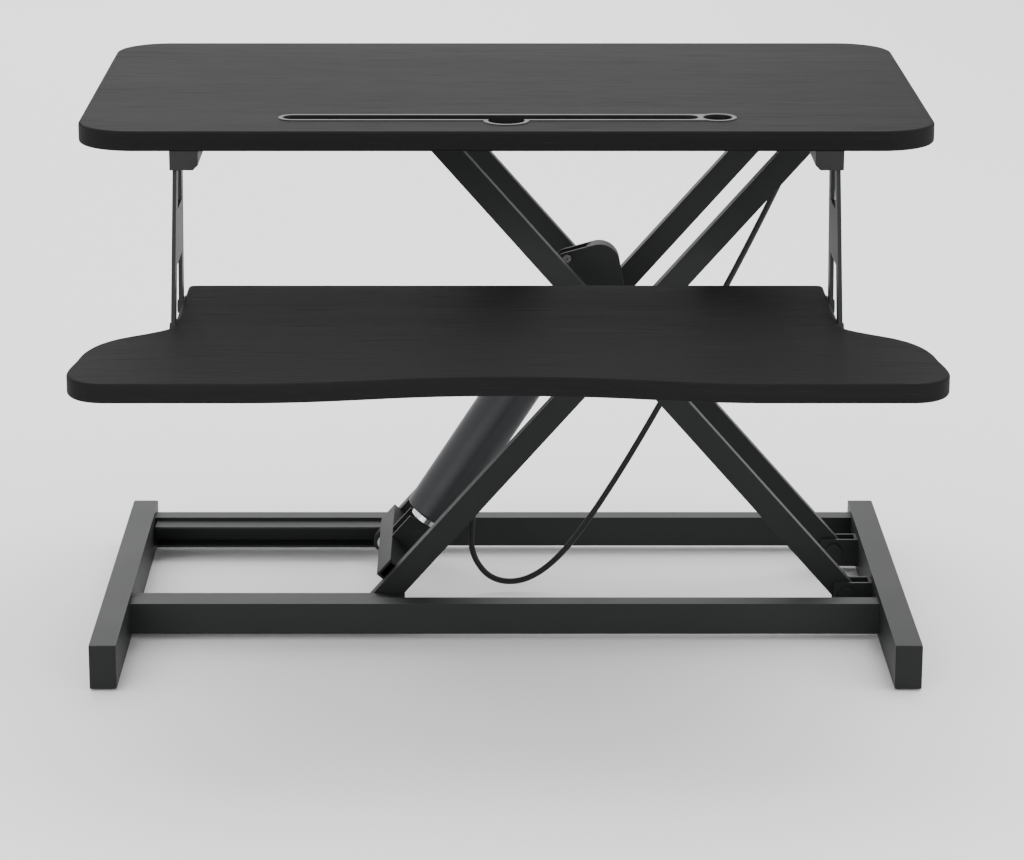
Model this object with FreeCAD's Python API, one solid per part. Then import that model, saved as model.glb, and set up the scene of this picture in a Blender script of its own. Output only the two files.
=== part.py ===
"""Two-tier standing desk riser on a scissor lift, millimetres, +Z up, front towards -Y.

The origin is on the floor, under the middle of the whole desk.
The desk stands fully raised.  Each function makes one sub-assembly, and NODES holds its pieces.
"""
import FreeCAD
import Part
import math
import os

V = FreeCAD.Vector

# ---- driving dimensions -------------------------------------------------
WIDTH = 680.0            # desktop and base, left to right
DEPTH_ALL = 625.0        # keyboard tray front to the rear of the feet
DESK_DEPTH = 400.0       # desktop and feet, front to back
DESK_TOP = 465.0         # height of the work surface, raised
DESK_THICK = 16.0
DESK_CORNER = 45.0
EDGE_SOFT = 2.0          # rounded edge of the boards

WALL = 1.5               # wall of the steel tubes
FOOT_W = 22.0
FOOT_H = 37.0
FOOT_PAD = 1.5
FOOT_CAP = 2.0

RAIL_Z = 5.5             # underside of the base rails
RAIL_H = 27.0
RAIL_T = 17.0
FRONT_RAIL_BACK = 124.0  # front rail behind the front of the feet
REAR_RAIL_BACK = 366.0   # rear rail behind the front of the feet

TRACK_H = 19.4           # height of the roller channels
TRACK_WALL = 1.8
LOW_TRACK_D = 20.0       # depth of the base channels
TOP_TRACK_D = 25.0       # depth of the channels under the desktop
ROLLER_R = 7.5
ROLLER_W = 12.0
AXLE_R = 4.0
SHAFT_R = 6.0
FIT = 0.05               # radial play of a pin in its bore

ARM_H = 20.0             # arm tube, seen from the front
ARM_T = 12.0             # arm tube, front to back
OUTER_BACK = 162.0       # outer arm behind the front of the feet
ARM_GAP = 13.0           # between an outer arm and the inner arm beside it
ARM_ANGLE = 48.6         # arms above the floor, raised
PIVOT_Z = 20.0
BASE_PIVOT_X = 296.0
LOWER_ARM = 305.0        # base pivot to crossing
UPPER_ARM = 247.0        # crossing to upper pivot

SPRING_UP = (46.2, 24.1)     # upper pin: along the inner arm from the crossing, and across it
SPRING_LOW = -257.0          # lower pin along the outer arm from the crossing
COVER_R = 22.5
CYLINDER_R = 14.0
BORE_R = 12.0
ROD_R = 5.5
LOW_EYE_W = 16.0
TOP_EYE_W = 10.0
TOP_EYE_R = 8.5
CHEEK_GAP = 12.0         # inside the folded bracket that holds the upper eye
CHEEK_R = 17.8
CHEEK_T = 3.0
WRAP_T = 1.5             # rolled edge that joins its two cheeks
LUG_T = 3.0

TRAY_TOP = 322.0
TRAY_THICK = 15.0
TRAY_NECK = 258.0        # half width of the tray between the hangers
TRAY_EAR = 327.5         # half width at the ears
TRAY_DIP = 20.0          # how far the front edge curves in at the middle
BAR_T = 3.2              # hanger brackets
BAR_W = 16.0
HANGER_FRONT = (-73.0, -124.0)   # y of the front bar at the desktop and at the tray
HANGER_REAR = (-30.0, -49.0)     # and of the rear bar
HANGER_WEB = (360.0, 401.0)      # heights between which a web joins them

GROOVE_X = (-178.0, 153.0)   # ends of the long groove
GROOVE_Y = -32.5
GROOVE_W = 17.0
GROOVE_RIM = 4.0
GROOVE_DEEP = 9.0
GROOVE_LIP = 0.8         # the insert's rounded lip above the board
THUMB_R = 14.5           # round recess in the middle of the groove
THUMB_Y = -45.5
HOLE_R = 11.5            # round cable hole at the groove's right end
HOLE_X = 168.6

TIE_X = (-292.0, 150.0)  # left edges of the two ties under the desktop
TIE_W = 26.0
SLEEVE_R = 11.0          # sleeve on the crossing shaft
BRACKET_T = 2.5          # sheet of the forks
ARM_PLAY = 0.6           # between a fork and the arm in it

HANDLE_PIVOT = (300.0, 440.0)
CABLE_ALONG = 66.0       # cable stop along the gas spring
CABLE_ACROSS = 27.5      # and beside its axis
CABLE_R = 2.65

# ---- derived places -----------------------------------------------------
COS = math.cos(math.radians(ARM_ANGLE))
SIN = math.sin(math.radians(ARM_ANGLE))
REAR = DEPTH_ALL / 2
FEET_FRONT = REAR - DESK_DEPTH
TRAY_FRONT = -DEPTH_ALL / 2
UNDER = DESK_TOP - DESK_THICK
TRAY_Z = TRAY_TOP - TRAY_THICK
FOOT_IN = WIDTH / 2 - FOOT_W
FRONT_RAIL = FEET_FRONT + FRONT_RAIL_BACK
REAR_RAIL = FEET_FRONT + REAR_RAIL_BACK
MIDDLE = (FRONT_RAIL + REAR_RAIL + RAIL_T) / 2   # mid plane of the scissor
OUTER_F = FEET_FRONT + OUTER_BACK                # front face of the front outer arm
INNER_F = OUTER_F + ARM_T + ARM_GAP

CROSS_X = BASE_PIVOT_X - LOWER_ARM * COS
CROSS_Z = PIVOT_Z + LOWER_ARM * SIN
CROSS = (CROSS_X, CROSS_Z)
UP_RIGHT = (COS, SIN)
UP_LEFT = (-COS, SIN)
INNER_LOW = (BASE_PIVOT_X, PIVOT_Z)
OUTER_LOW = (CROSS_X - LOWER_ARM * COS, PIVOT_Z)
TOP_PIVOT_Z = CROSS_Z + UPPER_ARM * SIN
INNER_UP = (CROSS_X - UPPER_ARM * COS, TOP_PIVOT_Z)
OUTER_UP = (CROSS_X + UPPER_ARM * COS, TOP_PIVOT_Z)
NODES = {}


# ---- small tools --------------------------------------------------------
def mirror_y(y):
    """The same place on the other side of the scissor's mid plane."""
    return 2 * MIDDLE - y


def block(x0, x1, y0, y1, z0, z1):
    """A box from its corners, given in any order."""
    x0, x1 = sorted((x0, x1))
    y0, y1 = sorted((y0, y1))
    z0, z1 = sorted((z0, z1))
    return Part.makeBox(x1 - x0, y1 - y0, z1 - z0, V(x0, y0, z0))


def rod_y(xz, radius, y0, y1):
    """A round bar along Y."""
    low, high = sorted((y0, y1))
    return Part.makeCylinder(radius, high - low, V(xz[0], low, xz[1]), V(0, 1, 0))


def rod_x(yz, radius, x0, x1):
    """A round bar along X."""
    low, high = sorted((x0, x1))
    return Part.makeCylinder(radius, high - low, V(low, yz[0], yz[1]), V(1, 0, 0))


def plate_y(points, y0, y1):
    """A flat plate in the XZ plane from its corners."""
    low, high = sorted((y0, y1))
    wire = Part.makePolygon([V(x, low, z) for x, z in points + points[:1]])
    return Part.Face(wire).extrude(V(0, high - low, 0))


def hull_y(circles, y0, y1):
    """A plate in the XZ plane round circles (x, z, radius), joined by their tangents."""
    low, high = sorted((y0, y1))
    shape = rod_y(circles[0][:2], circles[0][2], low, high)
    for i, circle in enumerate(circles):
        following = circles[(i + 1) % len(circles)]
        shape = shape.fuse(rod_y(circle[:2], circle[2], low, high))
        shape = shape.fuse(tangent_plate(circle, following, low, high))
    if len(circles) > 2:
        shape = shape.fuse(plate_y([(x, z) for x, z, _ in circles], low, high))
    return shape.removeSplitter()


def tangent_plate(a, b, low, high):
    """The quadrilateral between the two outer tangents of circles a and b."""
    dx, dz = b[0] - a[0], b[1] - a[1]
    lean = math.acos((a[2] - b[2]) / math.hypot(dx, dz))
    heading = math.atan2(dz, dx)
    points = []
    for side, (x, z, r) in ((1, a), (1, b), (-1, b), (-1, a)):
        turn = heading + side * lean
        points.append((x + r * math.cos(turn), z + r * math.sin(turn)))
    return plate_y(points, low, high)


def bored(shape, xz, radius, y0, y1):
    """The shape with a hole along Y."""
    return shape.cut(rod_y(xz, radius, y0, y1))


def hollow_box(x0, x1, y0, y1, z0, z1, wall=WALL):
    """A rectangular tube with closed ends."""
    low_y, high_y = sorted((y0, y1))
    inner = block(x0 + wall, x1 - wall, low_y + wall, high_y - wall, z0 + wall, z1 - wall)
    return block(x0, x1, y0, y1, z0, z1).cut(inner)


def group(shapes):
    """Separate like solids as one node."""
    return Part.makeCompound(shapes)


def rounded_plan(corners, z0, z1):
    """A board from plan corners (x, y, radius), each rounded by an arc."""
    count = len(corners)
    cuts = []
    for i, (x, y, r) in enumerate(corners):
        here = V(x, y, z0)
        back = V(*corners[i - 1][:2], z0) - here
        ahead = V(*corners[(i + 1) % count][:2], z0) - here
        back.normalize()
        ahead.normalize()
        half = back.getAngle(ahead) / 2
        reach = r / math.tan(half)
        bisector = back + ahead
        bisector.normalize()
        middle = here + bisector * (r / math.sin(half) - r)
        cuts.append((here + back * reach, middle, here + ahead * reach))
    edges = []
    for i, (start, middle, end) in enumerate(cuts):
        edges.append(Part.Arc(start, middle, end).toShape())
        edges.append(Part.LineSegment(end, cuts[(i + 1) % count][0]).toShape())
    return Part.Face(Part.Wire(edges)).extrude(V(0, 0, z1 - z0))


def softened(shape, radius, z):
    """The shape with every edge that lies wholly at height z rounded."""
    edges = []
    for edge in shape.Edges:
        box = edge.BoundBox
        if abs(box.ZMin - z) < 1e-5 and abs(box.ZMax - z) < 1e-5:
            edges.append(edge)
    return shape.makeFillet(radius, edges)


def arm(low, high, front):
    """An arm tube with rounded closed ends, its pivots at low and high."""
    half = ARM_H / 2
    outer = hull_y([(*low, half), (*high, half)], front, front + ARM_T)
    inner = half - WALL
    hollow = hull_y([(*low, inner), (*high, inner)], front + WALL, front + ARM_T - WALL)
    return outer.cut(hollow)


def channel(x0, x1, z_mid, y_web, depth):
    """A C channel along X: its web at y_web, its mouth depth away (either way)."""
    step = 1 if depth > 0 else -1
    half = TRACK_H / 2
    outer = block(x0, x1, y_web, y_web + depth, z_mid - half, z_mid + half)
    inner = half - TRACK_WALL
    mouth = y_web + depth + step
    hollow = block(x0 - 1, x1 + 1, y_web + step * TRACK_WALL, mouth, z_mid - inner, z_mid + inner)
    return outer.cut(hollow)


def roller(xz, y0):
    """A plastic wheel with a bore, its low Y face at y0."""
    wheel = rod_y(xz, ROLLER_R, y0, y0 + ROLLER_W)
    wheel = wheel.makeChamfer(0.8, [e for e in wheel.Edges if e.Length > 40])
    return bored(wheel, xz, AXLE_R + FIT, y0 - 1, y0 + ROLLER_W + 1)


def pin_y(xz, radius, y_head, y_tip, head_r, head_t):
    """A pin along Y with a round head outside y_head."""
    step = 1 if y_head > y_tip else -1
    head = rod_y(xz, head_r, y_head, y_head + step * head_t)
    return rod_y(xz, radius, y_head, y_tip).fuse(head).removeSplitter()


def through_bolt(xz, y0, y1):
    """A bolt along Y from y0 to y1, with its head in front and its nut behind."""
    bolt = pin_y(xz, AXLE_R, y0, y1, 7.0, 3.0)
    return bolt.fuse(rod_y(xz, 6.5, y1, y1 + 4.0)).removeSplitter()


def beside(origin, direction, distance, offset=0.0):
    """The (x, z) point at a distance along a direction and an offset to its left."""
    dx, dz = direction
    return (origin[0] + dx * distance - dz * offset, origin[1] + dz * distance + dx * offset)


def fork(front, low, high, z0, z1, web_z, pivot):
    """A U bracket round one arm end, open above or below its web."""
    y0, y1 = front - BRACKET_T - ARM_PLAY, front + ARM_T + BRACKET_T + ARM_PLAY
    body = block(low, high, y0, y1, z0, z1)
    gap_z = (web_z, z1 + 1) if web_z < pivot[1] else (z0 - 1, web_z)
    body = body.cut(block(low - 1, high + 1, front - ARM_PLAY, front + ARM_T + ARM_PLAY, *gap_z))
    return bored(body, pivot, AXLE_R + FIT, y0 - 1, y1 + 1), y0, y1


SPRING_TOP = beside(CROSS, UP_LEFT, SPRING_UP[0], -SPRING_UP[1])
SPRING_FOOT = beside(CROSS, UP_RIGHT, SPRING_LOW)


# ---- base ---------------------------------------------------------------
def make_feet():
    """Two foot tubes with their end caps and rubber pads."""
    foot_top = FOOT_PAD + FOOT_H
    caps = []
    pads = []
    for name, side in (("left_foot", -1), ("right_foot", 1)):
        x0, x1 = sorted((side * WIDTH / 2, side * FOOT_IN))
        outer = block(x0, x1, FEET_FRONT + FOOT_CAP, REAR - FOOT_CAP, FOOT_PAD, foot_top)
        hollow = block(x0 + WALL, x1 - WALL, FEET_FRONT, REAR, FOOT_PAD + WALL, foot_top - WALL)
        NODES[name] = outer.cut(hollow)
        for y, step in ((FEET_FRONT, 1), (REAR, -1)):
            cover = block(x0, x1, y, y + step * FOOT_CAP, FOOT_PAD, foot_top)
            cover = cover.makeFillet(0.8, cover.Edges)
            plug = block(x0 + WALL + 0.1, x1 - WALL - 0.1, y + step, y + step * 12.0,
                         FOOT_PAD + WALL + 0.1, foot_top - WALL - 0.1)
            caps.append(cover.fuse(plug).removeSplitter())
            pads.append(block(x0 + 3, x1 - 3, y + step * 14.0, y + step * 48.0, 0, FOOT_PAD))
    NODES["foot_end_caps"] = group(caps)
    NODES["foot_pads"] = group(pads)


def make_base_frame():
    """Rails, roller channels and the fixed pivots of the inner arms."""
    for name, y in (("base_rail_front", FRONT_RAIL), ("base_rail_rear", REAR_RAIL)):
        NODES[name] = hollow_box(-FOOT_IN, FOOT_IN, y, y + RAIL_T, RAIL_Z, RAIL_Z + RAIL_H)
    start, end = -FOOT_IN + 2.0, OUTER_LOW[0] + 22.0
    web = FRONT_RAIL + RAIL_T
    NODES["base_channel_front"] = channel(start, end, PIVOT_Z, web, LOW_TRACK_D)
    NODES["base_channel_rear"] = channel(start, end, PIVOT_Z, mirror_y(web), -LOW_TRACK_D)
    bolts = []
    for name, front in (("base_fork_front", INNER_F), ("base_fork_rear", mirror_y(INNER_F) - ARM_T)):
        low, high = BASE_PIVOT_X - 11.0, FOOT_IN
        body, y0, y1 = fork(front, low, high, 6.0, 31.0, 8.5, INNER_LOW)
        wall = block(high - BRACKET_T, high, y0, y1, 6.0, 31.0)
        NODES[name] = body.fuse(wall).removeSplitter()
        bolts.append(through_bolt(INNER_LOW, y0, y1))
    NODES["base_pivot_bolts"] = group(bolts)


# ---- scissor ------------------------------------------------------------
def make_inner_arms():
    """The inner pair, which turns on the base, with the crossing shaft and the spring cheeks."""
    rear = mirror_y(INNER_F) - ARM_T
    for name, front in (("inner_arm_front", INNER_F), ("inner_arm_rear", rear)):
        shape = arm(INNER_LOW, INNER_UP, front)
        for xz, radius in ((INNER_LOW, AXLE_R + FIT), (INNER_UP, AXLE_R), (CROSS, SHAFT_R)):
            shape = bored(shape, xz, radius, front - 1, front + ARM_T + 1)
        NODES[name] = shape
    tip = OUTER_F - 3.5
    shaft = rod_y(CROSS, SHAFT_R, tip, mirror_y(tip))
    for y, step in ((OUTER_F - 0.5, -1), (mirror_y(OUTER_F - 0.5), 1)):
        shaft = shaft.fuse(rod_y(CROSS, 8.5, y, y + step * 3.0))
    NODES["crossing_shaft"] = shaft.removeSplitter()
    spacers = []
    for y, step in ((OUTER_F + ARM_T, 1), (mirror_y(OUTER_F + ARM_T), -1)):
        ring = rod_y(CROSS, 9.5, y + step * 0.4, y + step * ARM_GAP)
        spacers.append(bored(ring, CROSS, SHAFT_R, OUTER_F, mirror_y(OUTER_F)))
    NODES["arm_spacers"] = group(spacers)

    axles = []
    for face, step in ((INNER_F, -1), (mirror_y(INNER_F), 1)):
        axles.append(pin_y(INNER_UP, AXLE_R, face - step * ARM_T, face + step * 18.0, 6.5, 2.5))
    NODES["upper_roller_axles"] = group(axles)

    sleeve = rod_y(CROSS, SLEEVE_R, INNER_F + ARM_T, rear)
    NODES["spring_sleeve"] = bored(sleeve, CROSS, SHAFT_R, INNER_F, rear + ARM_T)
    NODES["spring_bracket"] = make_spring_bracket()
    heads = []
    for step in (-1, 1):
        far = MIDDLE + step * (CHEEK_GAP / 2 + CHEEK_T)
        heads.append(rod_y(beside(CROSS, UP_LEFT, 69.0, -7.0), 3.6, far, far + step * 2.5))
    NODES["bracket_bolt_heads"] = group(heads)


def make_spring_bracket():
    """Two cheeks round the upper spring eye, joined over its top by a rolled strip."""
    half = CHEEK_GAP / 2 + CHEEK_T
    y0, y1 = MIDDLE - half, MIDDLE + half
    left = beside(CROSS, UP_LEFT, 67.0, -4.0)
    body = hull_y([(*SPRING_TOP, CHEEK_R), (*CROSS, 14.5), (*left, 8.0)], y0, y1)
    inside = rod_y(SPRING_TOP, 300.0, MIDDLE - CHEEK_GAP / 2, MIDDLE + CHEEK_GAP / 2)
    cheeks = body.cut(inside)
    strip = rod_y(SPRING_TOP, CHEEK_R, y0 + 1, y1 - 1).cut(rod_y(SPRING_TOP, CHEEK_R - WRAP_T, y0, y1))
    points = [SPRING_TOP]
    for turn in (-30.0, 30.0, 90.0, 140.0):
        points.append((SPRING_TOP[0] + 60.0 * math.cos(math.radians(turn)),
                       SPRING_TOP[1] + 60.0 * math.sin(math.radians(turn))))
    strip = strip.common(plate_y(points, y0, y1))
    bracket = cheeks.fuse(strip)
    return bored(bracket, CROSS, SLEEVE_R, y0 - 4, y1 + 4).removeSplitter()


def make_outer_arms():
    """The outer pair, which rolls in the base channels, with the lower spring mount."""
    rear = mirror_y(OUTER_F) - ARM_T
    for name, front in (("outer_arm_front", OUTER_F), ("outer_arm_rear", rear)):
        shape = arm(OUTER_LOW, OUTER_UP, front)
        for xz, radius in ((OUTER_LOW, AXLE_R), (OUTER_UP, AXLE_R + FIT), (CROSS, SHAFT_R + FIT)):
            shape = bored(shape, xz, radius, front - 1, front + ARM_T + 1)
        NODES[name] = shape
    axles = []
    for face, step in ((OUTER_F, -1), (mirror_y(OUTER_F), 1)):
        axles.append(pin_y(OUTER_LOW, AXLE_R, face - step * ARM_T, face + step * 18.0, 6.5, 2.5))
    NODES["lower_roller_axles"] = group(axles)

    y0, y1 = OUTER_F + ARM_T, rear
    near, far, low, high = 15.0, 33.0, -3.3, 16.7

    def frame(near_u, far_u, low_v, high_v, ya, yb):
        corners = ((near_u, low_v), (far_u, low_v), (far_u, high_v), (near_u, high_v))
        return plate_y([beside(OUTER_LOW, UP_RIGHT, u, v) for u, v in corners], ya, yb)

    outer = frame(near, far, low, high, y0, y1)
    hollow = frame(near + 2, far - 2, low + 2, high - 2, y0 - 1, y1 + 1)
    NODES["spring_cross_tube"] = outer.cut(hollow)
    lugs = []
    eye_u = LOWER_ARM + SPRING_LOW
    for step in (-1, 1):
        inner = MIDDLE + step * (LOW_EYE_W / 2 + 2.0)
        outer_y = inner + step * LUG_T
        corners = ((far, low), (eye_u - 6.0, -13.0), (eye_u + 13.5, -13.0), (eye_u + 8.8, high), (far, high))
        lug = plate_y([beside(OUTER_LOW, UP_RIGHT, u, v) for u, v in corners], inner, outer_y)
        lugs.append(bored(lug, SPRING_FOOT, AXLE_R, inner - 4, outer_y + 4))
    NODES["spring_lugs"] = group(lugs)
    reach = LOW_EYE_W / 2 + 2.0 + LUG_T
    NODES["spring_low_pin"] = rod_y(SPRING_FOOT, AXLE_R, MIDDLE - reach, MIDDLE + reach)


def make_rollers():
    """Four wheels: two in the base channels and two in the channels under the desktop."""
    low_front = OUTER_F - 1.0 - ROLLER_W - 3.0
    up_front = INNER_F - 1.0 - ROLLER_W - 3.0
    NODES["lower_roller_front"] = roller(OUTER_LOW, low_front)
    NODES["lower_roller_rear"] = roller(OUTER_LOW, mirror_y(low_front) - ROLLER_W)
    NODES["upper_roller_front"] = roller(INNER_UP, up_front)
    NODES["upper_roller_rear"] = roller(INNER_UP, mirror_y(up_front) - ROLLER_W)


# ---- gas spring ---------------------------------------------------------
def make_gas_spring():
    """Cylinder with its cover, ring and release head, and the rod with its piston and eye."""
    dx = SPRING_TOP[0] - SPRING_FOOT[0]
    dz = SPRING_TOP[1] - SPRING_FOOT[1]
    length = math.hypot(dx, dz)
    axis = V(dx, 0, dz) / length
    foot = V(SPRING_FOOT[0], MIDDLE, SPRING_FOOT[1])

    def bar(radius, start, end):
        return Part.makeCylinder(radius, end - start, foot + axis * start, axis)

    cover_start, cover_end = 19.0, 185.0
    tube_start, tube_end = 17.0, 187.0
    cover = bar(COVER_R, cover_start, cover_end)
    rims = [e for e in cover.Edges if e.Length > 2 * math.pi * COVER_R - 1]
    cover = cover.makeFillet(2.5, rims)
    cover = cover.cut(bar(COVER_R - 2.0, cover_start + 2, cover_end - 2))
    NODES["spring_cover"] = cover.cut(bar(CYLINDER_R, cover_start - 1, cover_end + 1))
    tube = bar(CYLINDER_R, tube_start, tube_end)
    tube = tube.cut(bar(BORE_R, tube_start + 4, tube_end - 10))
    NODES["spring_cylinder"] = tube.cut(bar(ROD_R + FIT, tube_end - 11, tube_end + 1))
    NODES["spring_ring"] = bar(14.0, 12.5, tube_start)

    eye_half = LOW_EYE_W / 2
    head = rod_y(SPRING_FOOT, 10.0, MIDDLE - eye_half, MIDDLE + eye_half).fuse(bar(9.5, 0, 12.5))
    head = head.common(block(-400, 400, MIDDLE - eye_half, MIDDLE + eye_half, 0, 500))
    NODES["spring_head"] = bored(head, SPRING_FOOT, AXLE_R + FIT, 0, 400).removeSplitter()

    piston_at = 168.0
    NODES["spring_piston"] = bar(BORE_R - 0.3, piston_at - 10, piston_at)
    rod_end = length - 17.0
    NODES["spring_rod"] = bar(ROD_R, piston_at, rod_end)
    eye_half = TOP_EYE_W / 2
    eye = rod_y(SPRING_TOP, TOP_EYE_R, MIDDLE - eye_half, MIDDLE + eye_half).fuse(bar(ROD_R, rod_end, length))
    eye = eye.common(block(-400, 400, MIDDLE - eye_half, MIDDLE + eye_half, 0, 500))
    NODES["spring_eye"] = bored(eye, SPRING_TOP, AXLE_R, 0, 400)
    reach = CHEEK_GAP / 2 - 0.4
    NODES["spring_top_pin"] = rod_y(SPRING_TOP, AXLE_R, MIDDLE - reach, MIDDLE + reach)

    stop_start, stop_end = CABLE_ALONG, CABLE_ALONG + 13.0
    off = V(axis.z, 0, -axis.x)
    centre = foot + off * CABLE_ACROSS
    ferrule = Part.makeCylinder(4.2, stop_end - stop_start, centre + axis * stop_start, axis)
    bridge = Part.makeBox(CABLE_ACROSS - COVER_R + 1, 6.0, stop_end - stop_start - 4)
    bridge.translate(V(COVER_R - 1, -3.0, stop_start + 2))
    turn = math.degrees(math.atan2(axis.x, axis.z))
    bridge.rotate(V(0, 0, 0), V(0, 1, 0), turn)
    bridge.translate(foot)
    stop = ferrule.fuse(bridge).cut(bar(COVER_R, 0, cover_end))
    NODES["cable_stop"] = stop.removeSplitter()


# ---- desktop and its frame ----------------------------------------------
def groove_plan(grow, z0, z1):
    """The groove's stadium and round recess, grown by a rim, as one upright solid."""
    half = GROOVE_W / 2 + grow
    x0, x1 = GROOVE_X[0] + GROOVE_W / 2, GROOVE_X[1] - GROOVE_W / 2
    shape = block(x0, x1, GROOVE_Y - half, GROOVE_Y + half, z0, z1)
    for x in (x0, x1):
        shape = shape.fuse(Part.makeCylinder(half, z1 - z0, V(x, GROOVE_Y, z0)))
    thumb = Part.makeCylinder(THUMB_R + grow, z1 - z0, V(0, THUMB_Y, z0))
    return shape.fuse(thumb).removeSplitter()


def insert_plan(grow, z0, z1):
    """The outer shape of the groove insert, with the collar of the cable hole."""
    collar = Part.makeCylinder(HOLE_R + grow, z1 - z0, V(HOLE_X, GROOVE_Y, z0))
    half = GROOVE_W / 2 + grow
    neck = block(GROOVE_X[1] - GROOVE_W / 2, HOLE_X, GROOVE_Y - half, GROOVE_Y + half, z0, z1)
    return groove_plan(grow, z0, z1).fuse(collar).fuse(neck).removeSplitter()


def make_desktop():
    """The upper board and the plastic insert with its groove, recess and cable hole."""
    x = WIDTH / 2
    corners = [(-x, FEET_FRONT), (x, FEET_FRONT), (x, REAR), (-x, REAR)]
    board = rounded_plan([(a, b, DESK_CORNER) for a, b in corners], UNDER, DESK_TOP)
    board = softened(board, EDGE_SOFT, DESK_TOP)
    board = softened(board, EDGE_SOFT, UNDER)
    floor_t = 2.0
    insert_z = DESK_TOP - GROOVE_DEEP - floor_t
    board = board.cut(insert_plan(GROOVE_RIM + 0.15, insert_z, DESK_TOP + 1))
    well = Part.makeCylinder(HOLE_R, DESK_THICK + 4, V(HOLE_X, GROOVE_Y, UNDER - 2))
    NODES["desktop"] = board.cut(well)
    lip_z = DESK_TOP + GROOVE_LIP
    insert = insert_plan(GROOVE_RIM, insert_z, lip_z)
    insert = insert.cut(groove_plan(0.0, DESK_TOP - GROOVE_DEEP, lip_z + 1))
    insert = insert.cut(well).removeSplitter()
    NODES["groove_insert"] = softened(insert, GROOVE_LIP * 0.9, lip_z)


def make_top_frame():
    """Rails, roller channels, ties and fixed pivots under the desktop."""
    web = FRONT_RAIL + RAIL_T + 20.0
    start, end = -292.0, OUTER_UP[0] - 21.0
    rail_z = UNDER - RAIL_H
    NODES["top_rail_front"] = hollow_box(start, end, web - RAIL_T, web, rail_z, UNDER)
    NODES["top_rail_rear"] = hollow_box(start, end, mirror_y(web), mirror_y(web) + RAIL_T, rail_z, UNDER)
    track = (-250.0, INNER_UP[0] + 19.0, TOP_PIVOT_Z)
    NODES["top_channel_front"] = channel(*track, web, TOP_TRACK_D)
    NODES["top_channel_rear"] = channel(*track, mirror_y(web), -TOP_TRACK_D)
    ties = []
    for x in TIE_X:
        ties.append(block(x, x + TIE_W, web, mirror_y(web), UNDER - BRACKET_T, UNDER))
    NODES["top_ties"] = group(ties)
    bolts = []
    for name, front in (("top_fork_front", OUTER_F), ("top_fork_rear", mirror_y(OUTER_F) - ARM_T)):
        low, high = OUTER_UP[0] - 14.0, OUTER_UP[0] + 20.0
        body, y0, y1 = fork(front, low, high, TOP_PIVOT_Z - 9.0, UNDER, UNDER - BRACKET_T, OUTER_UP)
        NODES[name] = body
        bolts.append(through_bolt(OUTER_UP, y0, y1))
    NODES["top_pivot_bolts"] = group(bolts)


# ---- keyboard tray and hangers ------------------------------------------
def make_tray():
    """The keyboard tray: a neck between the hangers, wide ears and a dipped front edge."""
    back_y = FEET_FRONT + 79.0
    side_x = TRAY_NECK
    flare = V(side_x + 33.0, -173.0, TRAY_Z)
    shoulder = V(side_x, -134.0, TRAY_Z)
    ear = V(TRAY_EAR - 4.5, -238.0, TRAY_Z)
    ear_end = V(TRAY_EAR, -277.5, TRAY_Z)
    corner = V(297.0, TRAY_FRONT, TRAY_Z)
    dip_start = V(196.0, TRAY_FRONT, TRAY_Z)
    dip = V(0, TRAY_FRONT + TRAY_DIP, TRAY_Z)
    back_corner = V(TRAY_NECK - 6.0, back_y, TRAY_Z)
    back_side = V(TRAY_NECK, back_y - 6.0, TRAY_Z)
    pieces = [
        [back_corner, V(TRAY_NECK, back_y, TRAY_Z), back_side],
        [back_side, shoulder],
        [shoulder, V(side_x, -150.0, TRAY_Z), V(side_x + 14.0, -159.0, TRAY_Z), flare],
        [flare, V(side_x + 51.0, -186.5, TRAY_Z), V(TRAY_EAR - 7.0, -206.0, TRAY_Z), ear],
        [ear, V(TRAY_EAR - 3.1, -252.0, TRAY_Z), V(TRAY_EAR, -264.0, TRAY_Z), ear_end],
        [ear_end, V(TRAY_EAR, -297.0, TRAY_Z), V(316.0, TRAY_FRONT, TRAY_Z), corner],
        [corner, dip_start],
        [dip_start, V(120.0, TRAY_FRONT, TRAY_Z), V(90.0, dip.y, TRAY_Z), dip],
    ]
    edges = []
    for side in (1, -1):
        for poles in pieces:
            curve = Part.BezierCurve()
            curve.setPoles([V(side * p.x, p.y, p.z) for p in poles])
            edges.append(curve.toShape())
    edges.append(Part.LineSegment(back_corner, V(-back_corner.x, back_y, TRAY_Z)).toShape())
    wire = Part.Wire(Part.__sortEdges__(edges))
    board = Part.Face(wire).extrude(V(0, 0, TRAY_THICK))
    board = softened(board, EDGE_SOFT, TRAY_TOP)
    NODES["keyboard_tray"] = softened(board, EDGE_SOFT, TRAY_Z)


def bar_x(top, low, x0, x1):
    """A flat hanger bar with round ends between two (y, z) points."""
    r = BAR_W / 2
    heading = V(0, low[0] - top[0], low[1] - top[1])
    length = heading.Length
    body = Part.makeBox(x1 - x0, BAR_W, length, V(0, -r, 0))
    body = body.fuse(Part.makeCylinder(r, x1 - x0, V(0, 0, 0), V(1, 0, 0)))
    body = body.fuse(Part.makeCylinder(r, x1 - x0, V(0, 0, length), V(1, 0, 0)))
    body = body.removeSplitter()
    turn = math.degrees(math.atan2(-heading.y, heading.z))
    body.rotate(V(0, 0, 0), V(1, 0, 0), turn)
    body.translate(V(x0, top[0], top[1]))
    return body


def plate_x(points, x0, x1):
    """A plate with the given (y, z) corners, between two x values."""
    corners = [V(x0, y, z) for y, z in points]
    face = Part.Face(Part.makePolygon(corners + corners[:1]))
    return face.extrude(V(x1 - x0, 0, 0))


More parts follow.
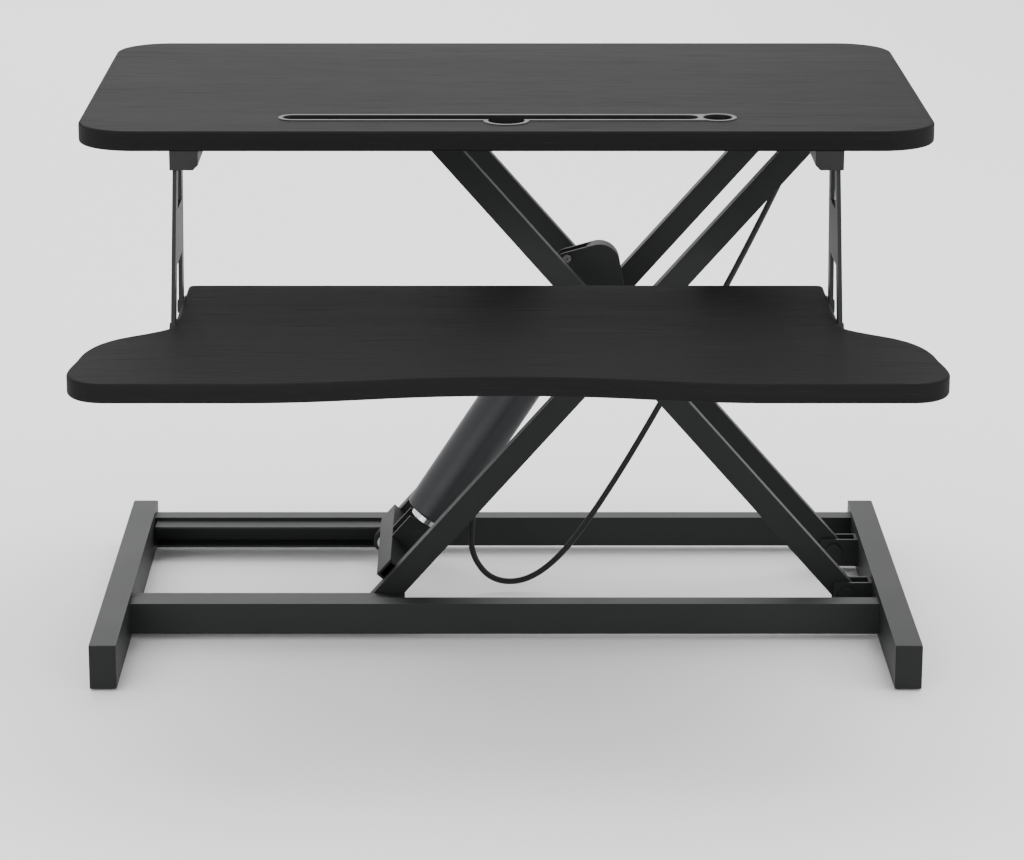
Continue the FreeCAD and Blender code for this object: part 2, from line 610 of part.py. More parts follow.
def make_hangers():
    """On each side a bracket of two bars and a web, its socket, foot plate and rivets."""
    plate_t = 1.3
    inner_x = TRAY_NECK + plate_t
    end_x = inner_x + BAR_T
    socket_x = end_x + 2.3
    socket_w = 22.5
    socket_y0, socket_y1 = HANGER_FRONT[0] - 13.0, HANGER_REAR[0] + 16.0
    socket_z = UNDER - 15.3
    pin_z = UNDER - BAR_W / 2 - 0.6
    low_z = TRAY_Z + TRAY_THICK / 2
    plate_y0, plate_y1 = HANGER_FRONT[1] - 9.5, HANGER_REAR[1] + 14.0
    pin_r = 3.0

    def along(bar, z):
        return bar[0] + (bar[1] - bar[0]) * (pin_z - z) / (pin_z - low_z)

    web = []
    for bar, heights in ((HANGER_FRONT, HANGER_WEB), (HANGER_REAR, HANGER_WEB[::-1])):
        for z in heights:
            web.append((along(bar, z), z))
    rivets = []
    feet = []
    for word, side in (("left", -1), ("right", 1)):
        def at(x0, x1):
            return sorted((side * x0, side * x1))

        bracket = plate_x(web, *at(inner_x, end_x))
        for bar in (HANGER_FRONT, HANGER_REAR):
            bracket = bracket.fuse(bar_x((bar[0], pin_z), (bar[1], low_z), *at(inner_x, end_x)))
        socket = block(side * (socket_x - socket_w), side * socket_x, socket_y0, socket_y1, socket_z, UNDER)
        socket = socket.makeChamfer(4.0, low_edges(socket, side * (socket_x - socket_w), socket_z))
        pocket = block(side * (inner_x - 0.3), side * (end_x + 0.3), socket_y0 + 1.2, socket_y1 - 1.2,
                       socket_z - 1.0, UNDER - 0.2)
        socket = socket.cut(pocket)
        plate = block(side * (TRAY_NECK + 0.1), side * inner_x, plate_y0, plate_y1,
                      TRAY_Z - 1.6, TRAY_TOP - 2.0)
        plate = plate.fuse(block(side * (TRAY_NECK - 26.0), side * inner_x, plate_y0, plate_y1,
                                 TRAY_Z - 1.6, TRAY_Z))
        for bar in (HANGER_FRONT, HANGER_REAR):
            pin = rod_x((bar[1], low_z), pin_r, *at(TRAY_NECK + 0.1, end_x))
            plate = plate.cut(pin)
            bracket = bracket.cut(pin)
            head = rod_x((bar[1], low_z), 5.5, *at(end_x, end_x + 1.4))
            rivets.append(pin.fuse(head).removeSplitter())
            pin = rod_x((bar[0], pin_z), pin_r, *at(inner_x - 4.0, socket_x))
            socket = socket.cut(pin)
            bracket = bracket.cut(pin)
            rivets.append(pin)
        NODES["tray_socket_" + word] = socket
        NODES["hanger_bars_" + word] = bracket.removeSplitter()
        feet.append(plate.removeSplitter())
    NODES["hanger_rivets"] = group(rivets)
    NODES["hanger_feet"] = group(feet)


def low_edges(shape, x, z):
    """The edges of a box that run along Y at the given x and z."""
    found = []
    for edge in shape.Edges:
        box = edge.BoundBox
        if abs(box.XMin - x) < 1e-6 and abs(box.XMax - x) < 1e-6 and abs(box.ZMax - z) < 1e-6:
            found.append(edge)
    return found


# ---- release handle and screws ------------------------------------------
def make_release():
    """The squeeze handle under the right edge, its housing and its pin."""
    y0, y1 = MIDDLE - 28, MIDDLE + 28
    x0, x1 = HANDLE_PIVOT[0] - 9.0, HANDLE_PIVOT[0] + 14.0
    z0 = UNDER - 20.0
    wall = 2.5
    housing = block(x0, x1, y0, y1, z0, UNDER)
    housing = housing.cut(block(x0 + wall, x1 + 1, y0 + wall, y1 - wall, z0 - 1, UNDER - wall))
    pin_r = 2.5
    housing = bored(housing, HANDLE_PIVOT, pin_r, y0 - 1, y1 + 1)
    start = V(*CABLE[-1])
    heading = start - V(*CABLE[-2])
    heading.normalize()
    boss = Part.makeCylinder(4.5, 9.0, start, heading).cut(block(x0, x1, y0, y1, z0, UNDER))
    NODES["handle_housing"] = housing.fuse(boss).removeSplitter()
    NODES["handle_pin"] = rod_y(HANDLE_PIVOT, pin_r, y0, y1)
    tip = (HANDLE_PIVOT[0] + 32.0, HANDLE_PIVOT[1] - 9.0)
    paddle = hull_y([(*HANDLE_PIVOT, 4.5), (*tip, 2.4)], y0 + wall + 1.0, y1 - wall - 1.0)
    NODES["release_handle"] = bored(paddle, HANDLE_PIVOT, pin_r + FIT, y0, y1)


def make_screws():
    """Screws that hold the frame, the sockets and the hanger feet to the two boards."""
    web = FRONT_RAIL + RAIL_T + 20.0
    frame_seats = []
    for x in TIE_X:
        for y in (web + 32, mirror_y(web) - 32):
            frame_seats.append((x + TIE_W / 2, y, UNDER - BRACKET_T))
    tray_seats = []
    for side in (-1, 1):
        for y in (HANGER_FRONT[1], HANGER_REAR[1]):
            tray_seats.append((side * 243.0, y, TRAY_Z - 1.6))
    screws = []
    for x, y, z in frame_seats + tray_seats:
        head = Part.makeCylinder(4.2, 1.8, V(x, y, z - 1.8))
        screws.append(head.fuse(Part.makeCylinder(2.0, 11.5, V(x, y, z))).removeSplitter())
    for host in ("top_ties", "desktop", "hanger_feet", "keyboard_tray"):
        for screw in screws:
            NODES[host] = NODES[host].cut(screw)
    NODES["board_screws"] = group(screws)


# ---- release cable ------------------------------------------------------
CABLE = [
    (-16.71, MIDDLE, 96.47),
    (-25.6, MIDDLE, 82.7),
    (-28.6, MIDDLE, 60.0),
    (-28.8, MIDDLE, 34.0),
    (-12.0, MIDDLE, 10.5),
    (16.0, MIDDLE, 8.0),
    (44.0, MIDDLE, 26.0),
    (72.0, MIDDLE, 62.0),
    (104.0, MIDDLE, 114.0),
    (134.0, MIDDLE, 168.0),
    (165.0, MIDDLE, 227.0),
    (196.5, MIDDLE, 287.0),
    (225.0, MIDDLE, 346.0),
    (243.0, MIDDLE, 386.0),
    (262.0, MIDDLE, 417.0),
    (285.0, MIDDLE, 433.0),
]


def cord_path(points):
    """Straight runs joined by tangent arcs, each as large as its two runs allow."""
    corners = [V(*p) for p in points]
    edges = []
    at = corners[0]
    radii = []
    for i in range(1, len(corners) - 1):
        back = corners[i - 1] - corners[i]
        ahead = corners[i + 1] - corners[i]
        reach = 0.45 * min(back.Length, ahead.Length)
        back.normalize()
        ahead.normalize()
        turn = math.pi - back.getAngle(ahead)
        radius = reach / math.tan(turn / 2)
        radii.append(radius)
        bisector = back + ahead
        bisector.normalize()
        middle = corners[i] + bisector * (radius / math.cos(turn / 2) - radius)
        start = corners[i] + back * reach
        end = corners[i] + ahead * reach
        edges.append(Part.LineSegment(at, start).toShape())
        edges.append(Part.Arc(start, middle, end).toShape())
        at = end
    edges.append(Part.LineSegment(at, corners[-1]).toShape())
    return Part.Wire(edges), radii


def make_cable():
    """The release cable, from its stop on the gas spring down, round and up to the handle."""
    path, radii = cord_path(CABLE)
    start = V(*CABLE[0])
    ring = Part.Wire(Part.Circle(start, V(*CABLE[1]) - start, CABLE_R).toShape())
    solid = path.makePipeShell([ring], True, False)
    ratio = solid.Volume / (math.pi * CABLE_R * CABLE_R * path.Length)
    print("cable length %.1f, volume ratio %.4f, radii %s" % (path.Length, ratio, [round(r) for r in radii]))
    NODES["release_cable"] = solid


def main():
    """Build every node and write one STEP file for each."""
    make_feet()
    make_base_frame()
    make_inner_arms()
    make_outer_arms()
    make_rollers()
    make_gas_spring()
    make_desktop()
    make_top_frame()
    make_tray()
    make_hangers()
    make_release()
    make_screws()
    make_cable()
    os.makedirs("parts", exist_ok=True)
    for name, shape in NODES.items():
        if not shape.isValid():
            print("invalid", name)
        shape.exportStep("parts/" + name + ".step")
    print(len(NODES), "nodes")


main()
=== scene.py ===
"""Dress the two-tier desk riser: boards, steel, plastic, gas spring and release cable.

Sizes are in metres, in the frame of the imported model: +X right, +Y to the rear, +Z up.
"""
import logging
import math
from dataclasses import dataclass, field
from enum import Enum
from typing import Sequence

import bmesh
import bpy
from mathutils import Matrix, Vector


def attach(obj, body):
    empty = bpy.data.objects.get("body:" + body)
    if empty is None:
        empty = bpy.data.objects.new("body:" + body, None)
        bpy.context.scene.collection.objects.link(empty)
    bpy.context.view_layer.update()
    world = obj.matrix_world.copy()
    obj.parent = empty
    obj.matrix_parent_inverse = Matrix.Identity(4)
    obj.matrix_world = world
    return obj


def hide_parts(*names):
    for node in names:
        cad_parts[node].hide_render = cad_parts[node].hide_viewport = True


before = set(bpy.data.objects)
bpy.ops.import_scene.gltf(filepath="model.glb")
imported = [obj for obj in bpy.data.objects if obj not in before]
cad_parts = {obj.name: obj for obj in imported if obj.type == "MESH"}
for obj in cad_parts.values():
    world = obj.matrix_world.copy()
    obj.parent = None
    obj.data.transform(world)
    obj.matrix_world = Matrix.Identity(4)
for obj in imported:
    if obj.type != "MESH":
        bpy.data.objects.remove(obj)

LOG = logging.getLogger("desk_riser")
Point = tuple[float, float, float]
Colour = tuple[float, float, float]


# ---- shader maths --------------------------------------------------------
class Signal:
    """A shader socket that carries a number and can be used in expressions."""

    def __init__(self, tree: bpy.types.NodeTree, socket: bpy.types.NodeSocket) -> None:
        """Keep the tree and the socket."""
        self.tree = tree
        self.socket = socket

    def math(self, operation: str, *others: "Signal | float", clamp: bool = False) -> "Signal":
        """Add a Math node.

        Args:
            operation: the node's operation, such as MULTIPLY.
            others: the values of its remaining inputs.
            clamp: whether the result is held between 0 and 1.

        Returns:
            The node's output.
        """
        return number_node(self.tree, operation, (self, *others), clamp)

    def __add__(self, other: "Signal | float") -> "Signal":
        """Sum."""
        return self.math("ADD", other)

    __radd__ = __add__

    def __mul__(self, other: "Signal | float") -> "Signal":
        """Product."""
        return self.math("MULTIPLY", other)

    __rmul__ = __mul__

    def __sub__(self, other: "Signal | float") -> "Signal":
        """Difference."""
        return self.math("SUBTRACT", other)

    def __rsub__(self, other: "Signal | float") -> "Signal":
        """Difference with the number first."""
        return number_node(self.tree, "SUBTRACT", (other, self), False)

    def clamped(self) -> "Signal":
        """The value held between 0 and 1."""
        return self.math("ADD", 0.0, clamp=True)

    def smooth(self, low: float, high: float) -> "Signal":
        """A smooth step that rises from 0 at low to 1 at high."""
        step = Shader.node_in(self.tree, "ShaderNodeMapRange", {"interpolation_type": "SMOOTHSTEP"},
                              {"Value": self, "From Min": low, "From Max": high})
        return Signal(self.tree, step.outputs["Result"])


def number_node(tree: bpy.types.NodeTree, operation: str, values: Sequence["Signal | float"],
                clamp: bool) -> Signal:
    """Add one Math node.

    Args:
        tree: the node tree.
        operation: the node's operation.
        values: its inputs, as numbers or signals.
        clamp: whether the result is held between 0 and 1.

    Returns:
        The node's output.
    """
    node = tree.nodes.new("ShaderNodeMath")
    node.operation = operation
    node.use_clamp = clamp
    for socket, value in zip(node.inputs, values):
        if isinstance(value, Signal):
            tree.links.new(value.socket, socket)
        else:
            socket.default_value = value
    return Signal(tree, node.outputs[0])


class Shader:
    """A material under construction, with its Principled shader."""

    def __init__(self, name: str) -> None:
        """Start an empty material."""
        self.material = bpy.data.materials.new(name)
        self.material.use_nodes = True
        self.tree = self.material.node_tree
        self.tree.nodes.clear()
        self.out = self.tree.nodes.new("ShaderNodeOutputMaterial")
        self.surface = self.node("ShaderNodeBsdfPrincipled", {}, {})
        self.tree.links.new(self.surface.outputs[0], self.out.inputs["Surface"])
        place = self.node("ShaderNodeNewGeometry", {}, {})
        self.position = place.outputs["Position"]
        self.normal = place.outputs["Normal"]
        self.own_place = self.node("ShaderNodeTexCoord", {}, {}).outputs["Object"]

    @staticmethod
    def node_in(tree: bpy.types.NodeTree, kind: str, settings: dict, inputs: dict) -> bpy.types.Node:
        """Add a node.

        Args:
            tree: the node tree.
            kind: the node's type.
            settings: attributes, set before the inputs.
            inputs: socket names to values, sockets or signals.

        Returns:
            The new node.
        """
        node = tree.nodes.new(kind)
        for key, value in settings.items():
            setattr(node, key, value)
        for key, value in inputs.items():
            socket = node.inputs[key]
            if isinstance(value, Signal):
                tree.links.new(value.socket, socket)
            elif isinstance(value, bpy.types.NodeSocket):
                tree.links.new(value, socket)
            else:
                socket.default_value = value
        return node

    def node(self, kind: str, settings: dict, inputs: dict) -> bpy.types.Node:
        """Add a node to this material; see node_in."""
        return self.node_in(self.tree, kind, settings, inputs)

    def stretched(self, scale: Point) -> bpy.types.NodeSocket:
        """The surface place multiplied by a scale for each axis."""
        node = self.node("ShaderNodeVectorMath", {"operation": "MULTIPLY"}, {0: self.own_place, 1: scale})
        return node.outputs[0]

    def noise(self, scale: float, detail: float = 4.0, place: bpy.types.NodeSocket | None = None,
              rough: float = 0.55) -> Signal:
        """Fractal noise over the surface.

        Args:
            scale: how fine it is, per metre.
            detail: its octaves.
            place: the vector it follows; the surface place if left out.
            rough: how strong the fine octaves are.

        Returns:
            The noise, from 0 to 1.
        """
        node = self.node("ShaderNodeTexNoise", {}, {"Vector": place or self.own_place, "Scale": scale,
                                                    "Detail": detail, "Roughness": rough})
        return Signal(self.tree, node.outputs[0])

    def upward(self) -> Signal:
        """How far the surface faces up, from -1 to 1."""
        node = self.node("ShaderNodeSeparateXYZ", {}, {0: self.normal})
        return Signal(self.tree, node.outputs[2])

    def edge_wear_and_highlight(self, radius: float) -> Signal:
        """A mask of the sharp outer edges.

        Args:
            radius: how far from an edge the mask reaches, in metres.

        Returns:
            0 on flat faces and up to 1 on edges.
        """
        bevel = self.node("ShaderNodeBevel", {"samples": 4}, {"Radius": radius})
        dot = self.node("ShaderNodeVectorMath", {"operation": "DOT_PRODUCT"},
                        {0: bevel.outputs[0], 1: self.normal})
        return (1.0 - Signal(self.tree, dot.outputs["Value"])).smooth(0.01, 0.2)

    def blend(self, share: Signal | float, first: Colour | bpy.types.NodeSocket,
              second: Colour | bpy.types.NodeSocket) -> bpy.types.NodeSocket:
        """Mix two colours.

        Args:
            share: how much of the second colour.
            first: the first colour.
            second: the second colour.

        Returns:
            The mixed colour.
        """
        node = self.tree.nodes.new("ShaderNodeMix")
        node.data_type = "RGBA"
        factor, left, right = node.inputs[0], node.inputs[6], node.inputs[7]
        for socket, value in ((factor, share), (left, first), (right, second)):
            if isinstance(value, Signal):
                self.tree.links.new(value.socket, socket)
            elif isinstance(value, bpy.types.NodeSocket):
                self.tree.links.new(value, socket)
            elif isinstance(value, tuple):
                socket.default_value = (*value, 1.0)
            else:
                socket.default_value = value
        return node.outputs[2]

    def bump(self, height: Signal, distance: float, strength: float = 1.0) -> None:
        """Raise the surface by a height signal.

        Args:
            height: the relief, from 0 to 1.
            distance: the height of 1, in metres.
            strength: how much of it shows.
        """
        node = self.node("ShaderNodeBump", {},
                         {"Height": height, "Distance": distance, "Strength": strength})
        self.tree.links.new(node.outputs[0], self.surface.inputs["Normal"])

    def finish(self, colour: bpy.types.NodeSocket, roughness: Signal, **fixed: float) -> bpy.types.Material:
        """Connect the shader.

        Args:
            colour: the base colour.
            roughness: the roughness.
            fixed: values of the shader's other sockets, with _ for a space.

        Returns:
            The finished material.
        """
        self.tree.links.new(colour, self.surface.inputs["Base Color"])
        self.tree.links.new(roughness.clamped().socket, self.surface.inputs["Roughness"])
        for name, value in fixed.items():
            self.surface.inputs[name.replace("_", " ")].default_value = value
        return self.material


# ---- finishes ------------------------------------------------------------
class Sheen(Enum):
    """How glossy a moulded or coated part is."""

    DULL = 0.62
    SATIN = 0.46
    SMOOTH = 0.34


@dataclass(frozen=True)
class WoodGrainFoil:
    """Black foil with pressed wood pores over a board's faces and sides; the upright sides are painted a
    little lighter as painted light.
    """

    name: str
    colour: Colour = (0.0062, 0.0062, 0.0065)
    streak: Colour = (0.0155, 0.0155, 0.016)
    # painted light: the lighter colour given to the board's upright side faces
    lit_side_colour: Colour = (0.0075, 0.0075, 0.0078)
    gloss: float = 0.035
    pore_depth: float = 0.00012

    def build(self) -> bpy.types.Material:
        """Make the material."""
        mat = Shader(self.name)
        sway = mat.noise(2.2, 2.0)
        place = mat.node("ShaderNodeVectorMath", {"operation": "MULTIPLY_ADD"},
                         {0: mat.own_place, 1: (1.0, 1.0, 1.0), 2: (0.0, 0.0, 0.0)})
        shift = mat.node("ShaderNodeCombineXYZ", {}, {"Y": (sway - 0.5) * 0.055, "Z": (sway - 0.5) * 0.01})
        mat.tree.links.new(shift.outputs[0], place.inputs[2])
        lengthwise = mat.node("ShaderNodeVectorMath", {"operation": "MULTIPLY"},
                              {0: place.outputs[0], 1: (5.0, 150.0, 230.0)})
        pores = mat.noise(3.0, 5.0, lengthwise.outputs[0], 0.6)
        wide = mat.node("ShaderNodeVectorMath", {"operation": "MULTIPLY"},
                        {0: place.outputs[0], 1: (1.2, 22.0, 60.0)})
        bands = mat.noise(1.6, 3.0, wide.outputs[0], 0.5)
        pore_lines = pores.smooth(0.52, 0.7)
        grain = (bands * 0.65 + pore_lines * 0.35).clamped()
        # painted light: upright faces get the lighter side colour, faces pointing up or down get the board
        # colour
        faces_up = mat.upward().math("ABSOLUTE").smooth(0.35, 0.85)
        board = mat.blend(grain, self.colour, self.streak)
        lit_sides = mat.blend(grain, self.lit_side_colour, self.streak)
        colour = mat.blend(faces_up, lit_sides, board)
        specks = mat.noise(900.0, 2.0).smooth(0.62, 0.8)
        mat.bump(pores.smooth(0.4, 0.75) * -1.0 + specks * 0.3 + 1.0, self.pore_depth, 0.7)
        rough = 0.54 + bands * 0.12 + pore_lines * 0.14 + specks * 0.05
        return mat.finish(colour, rough, Specular_IOR_Level=self.gloss)


@dataclass(frozen=True)
class PowderCoat:
    """Baked powder paint on steel, with a fine orange-peel skin and rubbed edges."""

    name: str
    colour: Colour = (0.0085, 0.0096, 0.0095)
    worn: Colour = (0.03, 0.032, 0.032)
    rough: float = 0.47
    grit: float = 1.0
    gloss: float = 0.26

    def build(self) -> bpy.types.Material:
        """Make the material."""
        mat = Shader(self.name)
        peel = mat.noise(1500.0, 3.0)
        drift = mat.noise(14.0, 3.0)
        edges = mat.edge_wear_and_highlight(0.0011)
        colour = mat.blend((drift * 0.25).clamped(), self.colour, self.worn)
        colour = mat.blend((edges * (0.35 + 0.5 * mat.noise(120.0, 3.0))).clamped(), colour, self.worn)
        mat.bump(peel + mat.noise(420.0, 2.0) * 0.8, 0.00006 * self.grit, 0.55)
        rough = self.rough + drift * 0.08 + peel * 0.08 - edges * 0.06
        return mat.finish(colour, rough, Specular_IOR_Level=self.gloss)


@dataclass(frozen=True)
class MouldedPlastic:
    """Moulded black plastic with a spark-eroded texture."""

    name: str
    sheen: Sheen = Sheen.SATIN
    colour: Colour = (0.0105, 0.0105, 0.011)
    light: Colour = (0.021, 0.021, 0.022)
    texture: float = 900.0
    relief: float = 0.00005
    gloss: float = 0.28

    def build(self) -> bpy.types.Material:
        """Make the material."""
        mat = Shader(self.name)
        grain = mat.noise(self.texture, 3.0)
        drift = mat.noise(22.0, 2.0)
        edges = mat.edge_wear_and_highlight(0.0007)
        colour = mat.blend((drift * 0.4).clamped(), self.colour, self.light)
        # edges blended half-way to the pale colour; on the groove insert this paints the highlight along
        # the rim of the groove
        colour = mat.blend((edges * 0.5).clamped(), colour, self.light)
        mat.bump(grain, self.relief, 0.6)
        rough = self.sheen.value + grain * 0.1 + drift * 0.05
        return mat.finish(colour, rough, Specular_IOR_Level=self.gloss)


@dataclass(frozen=True)
class SleeveSkin:
    """The smooth dark sleeve over the gas spring, with faint drawn lines along it."""

    name: str
    colour: Colour = (0.0135, 0.0145, 0.0170)
    light: Colour = (0.024, 0.025, 0.029)

    def build(self) -> bpy.types.Material:
        """Make the material."""
        mat = Shader(self.name)
        drawn = mat.noise(3.0, 4.0, mat.stretched((240.0, 240.0, 14.0)))
        dust = mat.noise(60.0, 4.0)
        colour = mat.blend((drawn * 0.5 + dust * 0.2).clamped(), self.colour, self.light)
        mat.bump(drawn, 0.00004, 0.5)
        return mat.finish(colour, 0.36 + dust * 0.1 + drawn * 0.06, Specular_IOR_Level=0.4)


@dataclass(frozen=True)
class BareMetal:
    """Plated or polished metal with fine turning lines and smudges."""

    name: str
    colour: Colour = (0.72, 0.72, 0.73)
    dark: Colour = (0.42, 0.42, 0.43)
    rough: float = 0.16

    def build(self) -> bpy.types.Material:
        """Make the material."""
        mat = Shader(self.name)
        lines = mat.noise(4.0, 3.0, mat.stretched((60.0, 900.0, 60.0)))
        smudge = mat.noise(70.0, 4.0)
        colour = mat.blend((smudge * 0.5 + lines * 0.2).clamped(), self.colour, self.dark)
        mat.bump(lines, 0.00002, 0.5)
        return mat.finish(colour, self.rough + smudge * 0.12 + lines * 0.06, Metallic=1.0)


@dataclass(frozen=True)
class SoftRubber:
    """Dull rubber of the foot pads."""

    name: str
    colour: Colour = (0.014, 0.014, 0.014)
    dusty: Colour = (0.045, 0.044, 0.042)

    def build(self) -> bpy.types.Material:
        """Make the material."""
        mat = Shader(self.name)
        dust = mat.noise(180.0, 5.0)
        colour = mat.blend((dust.smooth(0.4, 0.8) * 0.5).clamped(), self.colour, self.dusty)
        mat.bump(dust, 0.0001, 0.5)
        return mat.finish(colour, 0.78 + dust * 0.12, Specular_IOR_Level=0.3)


@dataclass(frozen=True)
class FloorPaint:
    """The plain pale floor."""

    name: str
    colour: Colour = (0.94, 0.94, 0.945)

    def build(self) -> bpy.types.Material:
        """Make the material."""
        mat = Shader(self.name)
        drift = mat.noise(1.2, 2.0)
        colour = mat.blend((drift * 0.3).clamped(), self.colour, (0.96, 0.96, 0.965))
        return mat.finish(colour, 0.75 + drift * 0.05, Specular_IOR_Level=0.15)


# ---- helpers -------------------------------------------------------------
def dress(nodes: Sequence[str], material: bpy.types.Material) -> None:
    """Give model nodes a material.

    Args:
        nodes: node names.
        material: the finish.
    """
    for name in nodes:
        obj = bpy.data.objects[name]
        obj.data.materials.clear()
        obj.data.materials.append(material)
        LOG.info("dressed %s with %s", name, material.name)


# ---- sub-assemblies ------------------------------------------------------
@dataclass
class Boards:
    """The desktop, the keyboard tray and the plastic insert of the groove."""

    foil: WoodGrainFoil = field(default_factory=lambda: WoodGrainFoil("black_wood_grain_foil"))
    # painted highlight: the insert's pale colour (0.03), blended onto its edges, paints the light line
    # along the groove rim
    insert: MouldedPlastic = field(default_factory=lambda: MouldedPlastic(
        "groove_plastic", Sheen.SMOOTH, (0.004, 0.004, 0.0043), (0.03, 0.03, 0.031), 1400.0, 0.00002))

    def build(self) -> None:
        """Dress the boards and the insert."""
        foil = self.foil.build()
        dress(("desktop", "keyboard_tray"), foil)
        dress(("groove_insert",), self.insert.build())


@dataclass
class SteelFrame:
    """The painted base, scissor arms, hangers and under-desk frame."""

    coat: PowderCoat = field(default_factory=lambda: PowderCoat("black_powder_coat"))
    arm_coat: PowderCoat = field(default_factory=lambda: PowderCoat(
        "arm_powder_coat", (0.0062, 0.0070, 0.0069), (0.038, 0.040, 0.040), gloss=0.22))
    base: tuple[str, ...] = ("left_foot", "right_foot", "base_rail_front", "base_rail_rear",
                             "base_channel_front", "base_channel_rear", "base_fork_front", "base_fork_rear",
                             "base_pivot_bolts")
    arms: tuple[str, ...] = ("inner_arm_front", "inner_arm_rear", "outer_arm_front", "outer_arm_rear",
                             "crossing_shaft", "arm_spacers", "spring_sleeve", "spring_bracket",
                             "spring_lugs", "spring_cross_tube", "spring_head", "spring_low_pin")
    top: tuple[str, ...] = ("top_rail_front", "top_rail_rear", "top_channel_front", "top_channel_rear",
                            "top_ties", "top_fork_front", "top_fork_rear", "top_pivot_bolts",
                            "hanger_bars_left", "hanger_bars_right", "hanger_feet", "hanger_rivets")

    def build(self) -> None:
        """Dress every painted steel part."""
        dress(self.base + self.top, self.coat.build())
        dress(self.arms, self.arm_coat.build())


@dataclass
class Plastics:
    """End caps, sockets, rollers, handle and pads."""

    caps: MouldedPlastic = field(default_factory=lambda: MouldedPlastic(
        "cap_plastic", Sheen.DULL, (0.0055, 0.006, 0.006), (0.016, 0.017, 0.017)))
    sockets: MouldedPlastic = field(default_factory=lambda: MouldedPlastic("socket_plastic", Sheen.SATIN))
    rollers: MouldedPlastic = field(default_factory=lambda: MouldedPlastic(
        "roller_nylon", Sheen.SMOOTH, (0.02, 0.02, 0.021), (0.032, 0.032, 0.034), 500.0))
    pads: SoftRubber = field(default_factory=lambda: SoftRubber("pad_rubber"))

    def build(self) -> None:
        """Dress the plastic and rubber parts."""
        dress(("foot_end_caps",), self.caps.build())
        dress(("tray_socket_left", "tray_socket_right", "handle_housing", "release_handle", "cable_stop"),
              self.sockets.build())
        dress(("lower_roller_front", "lower_roller_rear", "upper_roller_front", "upper_roller_rear"),
              self.rollers.build())
        dress(("foot_pads",), self.pads.build())


@dataclass
class GasSpring:
    """The gas spring with its sleeve, bright ring, rod and pins."""

    sleeve: SleeveSkin = field(default_factory=lambda: SleeveSkin("spring_sleeve_skin"))
    chrome: BareMetal = field(default_factory=lambda: BareMetal("polished_chrome", (0.85, 0.85, 0.86),
                                                                (0.6, 0.6, 0.61), 0.1))
    zinc: BareMetal = field(default_factory=lambda: BareMetal("zinc_plate", (0.5, 0.5, 0.51),
                                                              (0.3, 0.3, 0.31), 0.3))
    tube_coat: PowderCoat = field(default_factory=lambda: PowderCoat(
        "spring_tube_paint", rough=0.3, grit=0.3))

    def build(self) -> None:
        """Dress the spring and its fasteners."""
        dress(("spring_cover",), self.sleeve.build())
        dress(("spring_cylinder",), self.tube_coat.build())
        dress(("spring_ring", "spring_rod", "bracket_bolt_heads"), self.chrome.build())
        dress(("spring_eye", "spring_piston", "spring_top_pin", "lower_roller_axles",
               "upper_roller_axles", "handle_pin", "board_screws"), self.zinc.build())


@dataclass
class ReleaseCable:
    """The release cable on its smooth route from the gas spring to the handle."""

    radius: float = 0.00265
    body: str = "gas_spring"
    node: str = "release_cable"
    plane: float = 0.166
    route: tuple[tuple[float, float], ...] = (
        (-0.01671, 0.09647), (-0.0256, 0.0827), (-0.0286, 0.060), (-0.0288, 0.034), (-0.012, 0.0105),
        (0.016, 0.008), (0.044, 0.026), (0.072, 0.062), (0.104, 0.114), (0.134, 0.168), (0.165, 0.227),
        (0.1965, 0.287), (0.225, 0.346), (0.243, 0.386), (0.262, 0.417), (0.285, 0.433))
    jacket: MouldedPlastic = field(default_factory=lambda: MouldedPlastic(
        "cable_jacket", Sheen.SATIN, (0.0065, 0.0065, 0.007), (0.014, 0.014, 0.015), 700.0, 0.00003))

    def build(self) -> bpy.types.Object:
        """Make the cable.

        Returns:
            The cable, a smooth curve with a round section.
        """
        curve = bpy.data.curves.new("release_cable_jacket", "CURVE")
        curve.dimensions = "3D"
        spline = curve.splines.new("NURBS")
        spline.points.add(len(self.route) - 1)
        for point, (x, z) in zip(spline.points, self.route):
            point.co = (x, self.plane, z, 1.0)
        spline.order_u = 3
        spline.use_endpoint_u = True
        spline.resolution_u = 12
        length = self.length_of(curve)
        curve.bevel_depth = self.radius
        curve.bevel_resolution = 6
        curve.use_fill_caps = True
        obj = bpy.data.objects.new("release_cable_jacket", curve)
        bpy.context.scene.collection.objects.link(obj)
        curve.materials.append(self.jacket.build())
        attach(obj, self.body)
        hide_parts(self.node)
        x, z = self.route[0]
        LOG.info("cable of %.3f m", length)
        return obj

    @staticmethod
    def length_of(curve: bpy.types.Curve) -> float:
        """The length of the spline.

        Args:
            curve: a curve with no bevel.

        Returns:
            Its length in metres.
        """
        probe = bpy.data.objects.new("probe", curve)
        mesh = bpy.data.meshes.new_from_object(probe)
        points = [v.co.copy() for v in mesh.vertices]
        bpy.data.objects.remove(probe)
        bpy.data.meshes.remove(mesh)
        return sum((b - a).length for a, b in zip(points, points[1:]))


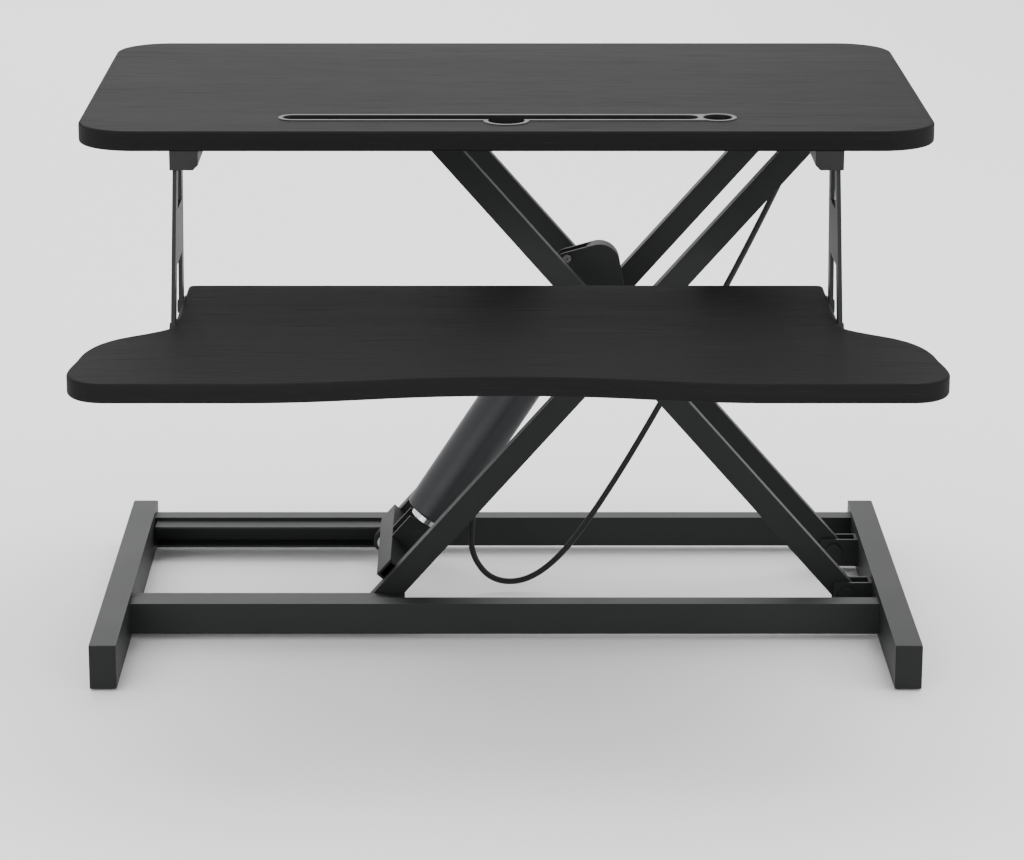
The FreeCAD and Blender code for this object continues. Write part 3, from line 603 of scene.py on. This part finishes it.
@dataclass
class Studio:
    """The camera, the floor and the soft lights."""

    camera_at: Point = (-0.01975, -2.8227, 1.01535)
    pitch_deg: float = 15.54
    lens: float = 125.07
    shift: tuple[float, float] = (0.0298, -0.0385)
    floor_size: float = 60.0
    world: float = 1.45
    floor: FloorPaint = field(default_factory=lambda: FloorPaint("pale_floor"))

    def add_camera(self) -> None:
        """Place the camera in front of and above the desk."""
        data = bpy.data.cameras.new("front_camera")
        data.lens = self.lens
        data.sensor_width = 36.0
        data.shift_x, data.shift_y = self.shift
        data.clip_end = 200.0
        camera = bpy.data.objects.new("front_camera", data)
        camera.location = self.camera_at
        camera.rotation_euler = (math.radians(90.0 - self.pitch_deg), 0.0, 0.0)
        bpy.context.scene.collection.objects.link(camera)
        bpy.context.scene.camera = camera

    def add_floor(self) -> None:
        """Lay the floor."""
        build = bmesh.new()
        bmesh.ops.create_grid(build, x_segments=2, y_segments=2, size=self.floor_size / 2)
        mesh = bpy.data.meshes.new("floor")
        build.to_mesh(mesh)
        build.free()
        obj = bpy.data.objects.new("floor", mesh)
        obj.location = (0.0, 0.0, -0.0002)
        mesh.materials.append(self.floor.build())
        bpy.context.scene.collection.objects.link(obj)

    def add_light(self, name: str, at: Point, aim: Point, size: float, power: float) -> None:
        """Add a square soft light.

        Args:
            name: its name.
            at: its place.
            aim: the point it faces.
            size: its side.
            power: its power in watts.
        """
        data = bpy.data.lights.new(name, "AREA")
        data.size = size
        data.energy = power
        obj = bpy.data.objects.new(name, data)
        obj.location = at
        obj.rotation_euler = (Vector(aim) - Vector(at)).to_track_quat("-Z", "Y").to_euler()
        bpy.context.scene.collection.objects.link(obj)

    def add_lights(self) -> None:
        """Light the desk softly from above, from the front and from behind."""
        aim = (0.0, 0.0, 0.25)
        self.add_light("overhead_softbox", (0.2, 0.6, 3.2), aim, 3.0, 80.0)
        self.add_light("front_softbox", (-1.8, -3.0, 1.4), aim, 2.0, 34.0)
        self.add_light("right_softbox", (3.0, -1.2, 1.2), aim, 2.0, 22.0)
        self.add_light("rear_softbox", (-0.5, 3.4, 1.6), aim, 2.6, 30.0)
        world = bpy.data.worlds.new("studio")
        world.use_nodes = True
        background = world.node_tree.nodes["Background"]
        background.inputs["Color"].default_value = (1.0, 1.0, 1.0, 1.0)
        background.inputs["Strength"].default_value = self.world
        bpy.context.scene.world = world


def main() -> None:
    """Build the studio and dress every sub-assembly."""
    logging.basicConfig(level=logging.INFO)
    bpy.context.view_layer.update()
    studio = Studio()
    studio.add_camera()
    ReleaseCable().build()
    Boards().build()
    SteelFrame().build()
    Plastics().build()
    GasSpring().build()
    studio.add_floor()
    studio.add_lights()


if __name__ == "__main__":
    main()
